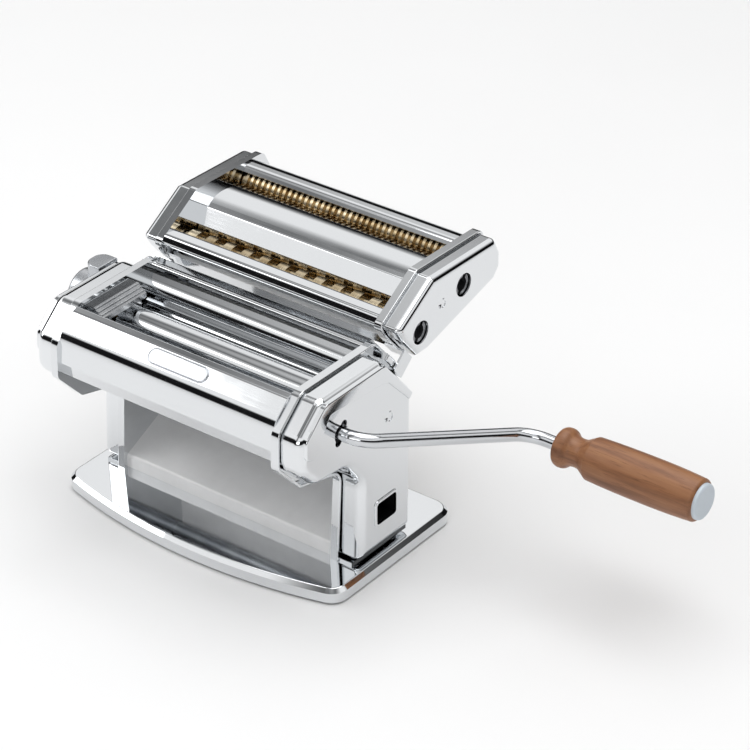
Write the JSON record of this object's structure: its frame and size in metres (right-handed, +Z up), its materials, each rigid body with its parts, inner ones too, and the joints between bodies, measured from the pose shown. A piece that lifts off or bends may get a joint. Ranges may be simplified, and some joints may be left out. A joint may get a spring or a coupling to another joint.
{
  "type": "manual pasta roller machine",
  "caption": "Chromed hand-cranked pasta roller with thickness knob, wooden crank grip and a slide-on noodle cutter head.",
  "frame": {"origin": "middle of the base's width on the plane the rubber feet rest on", "axes": "+X towards the crank side along the rollers, +Y to the back, +Z up"},
  "size_m": [0.3862, 0.1894, 0.1624],
  "materials": {
    "base_chrome": "polished",
    "frame_chrome": "polished",
    "cover_chrome": "polished",
    "panel_chrome": "polished",
    "inner_panel": "satin plated sheet",
    "badge_chrome": "embossed",
    "rail_chrome": "polished",
    "crank_chrome": "polished",
    "roller_steel": "ground and plated",
    "guide_steel": "pressed",
    "zinc_steel": "zinc plated",
    "gear_steel": "hobbed and hardened",
    "dark_steel": "folded",
    "spring_steel": "drawn wire",
    "bearing_bronze": "sintered",
    "cutter_bronze": "turned",
    "black_rubber": "moulded",
    "white_nylon": "turned",
    "knob_satin": "satin plated die casting",
    "cap_plastic": "moulded",
    "beech_wood": "turned and oiled"
  },
  "bodies": {
    "machine": {"base_pan": "base_chrome", "rubber_feet": "black_rubber", "base_screws": "zinc_steel", "frame_plate_left": "frame_chrome", "frame_plate_right": "frame_chrome", "tie_rods": "zinc_steel", "tie_rod_nuts": "zinc_steel", "side_cover_left": "cover_chrome", "side_cover_right": "cover_chrome", "clamp_socket": "dark_steel", "front_cover": "panel_chrome", "front_badge": "badge_chrome", "rear_cover": "inner_panel", "delivery_chute": "inner_panel", "rear_feed_plate": "panel_chrome", "rear_top_plate": "panel_chrome", "dough_guides": "guide_steel", "roller_scrapers": "guide_steel", "front_roller_bushes": "bearing_bronze", "pinion_axle": "gear_steel", "slide_rail_left": "rail_chrome", "slide_rail_right": "rail_chrome", "knob_bearing": "white_nylon"},
    "front_roller_set": {"front_roller": "roller_steel", "front_roller_gear": "gear_steel", "front_roller_clips": "spring_steel"},
    "roller_carriage": {"rear_roller_bushes": "bearing_bronze", "gap_yoke": "gear_steel"},
    "rear_roller_set": {"rear_roller": "roller_steel", "rear_roller_gear": "gear_steel", "rear_roller_clips": "spring_steel"},
    "crank_drive": {"crank_pinion": "gear_steel"},
    "crank": {"crank_rod": "crank_chrome", "crank_cross_pin": "gear_steel"},
    "grip": {"crank_grip": "beech_wood", "grip_end_cap": "cap_plastic"},
    "adjuster": {"knob_spindle": "gear_steel", "adjuster_cam": "gear_steel", "knob_spring": "spring_steel"},
    "knob": {"thickness_knob": "knob_satin", "knob_index_pin": "gear_steel"},
    "cutter_head": {"cutter_plate_left": "frame_chrome", "cutter_plate_right": "frame_chrome", "cutter_cap_left": "cover_chrome", "cutter_cap_right": "cover_chrome", "cutter_front_cover": "panel_chrome", "cutter_middle_cover": "panel_chrome", "cutter_rear_cover": "panel_chrome", "cutter_tie_rods": "zinc_steel", "cutter_bushes": "bearing_bronze", "noodle_strippers": "guide_steel", "cutter_hooks": "rail_chrome"},
    "wide_driven_set": {"wide_driven_cutter": "cutter_bronze", "wide_driven_gear": "gear_steel"},
    "wide_partner_set": {"wide_partner_cutter": "cutter_bronze", "wide_partner_gear": "gear_steel"},
    "fine_driven_set": {"fine_driven_cutter": "cutter_bronze", "fine_driven_gear": "gear_steel"},
    "fine_partner_set": {"fine_partner_cutter": "cutter_bronze", "fine_partner_gear": "gear_steel"}
  },
  "joints": [
    {"name": "front_roller_spin", "type": "hinge", "parent": "machine", "child": "front_roller_set", "pos_m": [0, -0.016, 0.106], "axis": [1, 0, 0], "continuous": true},
    {"name": "roller_gap", "type": "slide", "parent": "machine", "child": "roller_carriage", "axis": [0, 0.9781, -0.2079], "range_m": [-0.0008, 0.0012]},
    {"name": "rear_roller_spin", "type": "hinge", "parent": "roller_carriage", "child": "rear_roller_set", "pos_m": [0, 0.00748, 0.10101], "axis": [1, 0, 0], "continuous": true},
    {"name": "crank_turn", "type": "hinge", "parent": "machine", "child": "crank_drive", "pos_m": [0.085, -0.037, 0.106], "axis": [1, 0, 0], "continuous": true},
    {"name": "crank_withdraw", "type": "slide", "parent": "crank_drive", "child": "crank", "axis": [1, 0, 0], "range_m": [0, 0.025]},
    {"name": "grip_spin", "type": "hinge", "parent": "crank", "child": "grip", "pos_m": [0.215, 0.056, 0.0815], "axis": [1, 0, 0], "continuous": true},
    {"name": "knob_turn", "type": "hinge", "parent": "machine", "child": "adjuster", "pos_m": [-0.09, -0.004, 0.105], "axis": [1, 0, 0], "range_deg": [-90, 60]},
    {"name": "knob_pull", "type": "slide", "parent": "adjuster", "child": "knob", "axis": [-1, 0, 0], "range_m": [0, 0.006], "stiffness_N_per_m": 250},
    {"name": "cutter_lift", "type": "slide", "parent": "machine", "child": "cutter_head", "axis": [0, -0.6525, 0.7578], "range_m": [0, 0.045]},
    {"name": "wide_cutter_spin", "type": "hinge", "parent": "cutter_head", "child": "wide_driven_set", "pos_m": [0, 0.0382, 0.1321], "axis": [1, 0, 0], "continuous": true},
    {"name": "wide_partner_spin", "type": "hinge", "parent": "cutter_head", "child": "wide_partner_set", "pos_m": [0, 0.05574, 0.13615], "axis": [1, 0, 0], "continuous": true},
    {"name": "fine_cutter_spin", "type": "hinge", "parent": "cutter_head", "child": "fine_driven_set", "pos_m": [0, 0.078, 0.1441], "axis": [1, 0, 0], "continuous": true},
    {"name": "fine_partner_spin", "type": "hinge", "parent": "cutter_head", "child": "fine_partner_set", "pos_m": [0, 0.09554, 0.14815], "axis": [1, 0, 0], "continuous": true}
  ],
  "couplings": [
    {"joint": "rear_roller_spin", "follows": "front_roller_spin", "ratio": -1},
    {"joint": "crank_turn", "follows": "front_roller_spin", "ratio": -1.3333},
    {"joint": "knob_turn", "follows": "roller_gap", "rad_per_m": -1309},
    {"joint": "wide_partner_spin", "follows": "wide_cutter_spin", "ratio": -1},
    {"joint": "fine_partner_spin", "follows": "fine_cutter_spin", "ratio": -1}
  ]
}
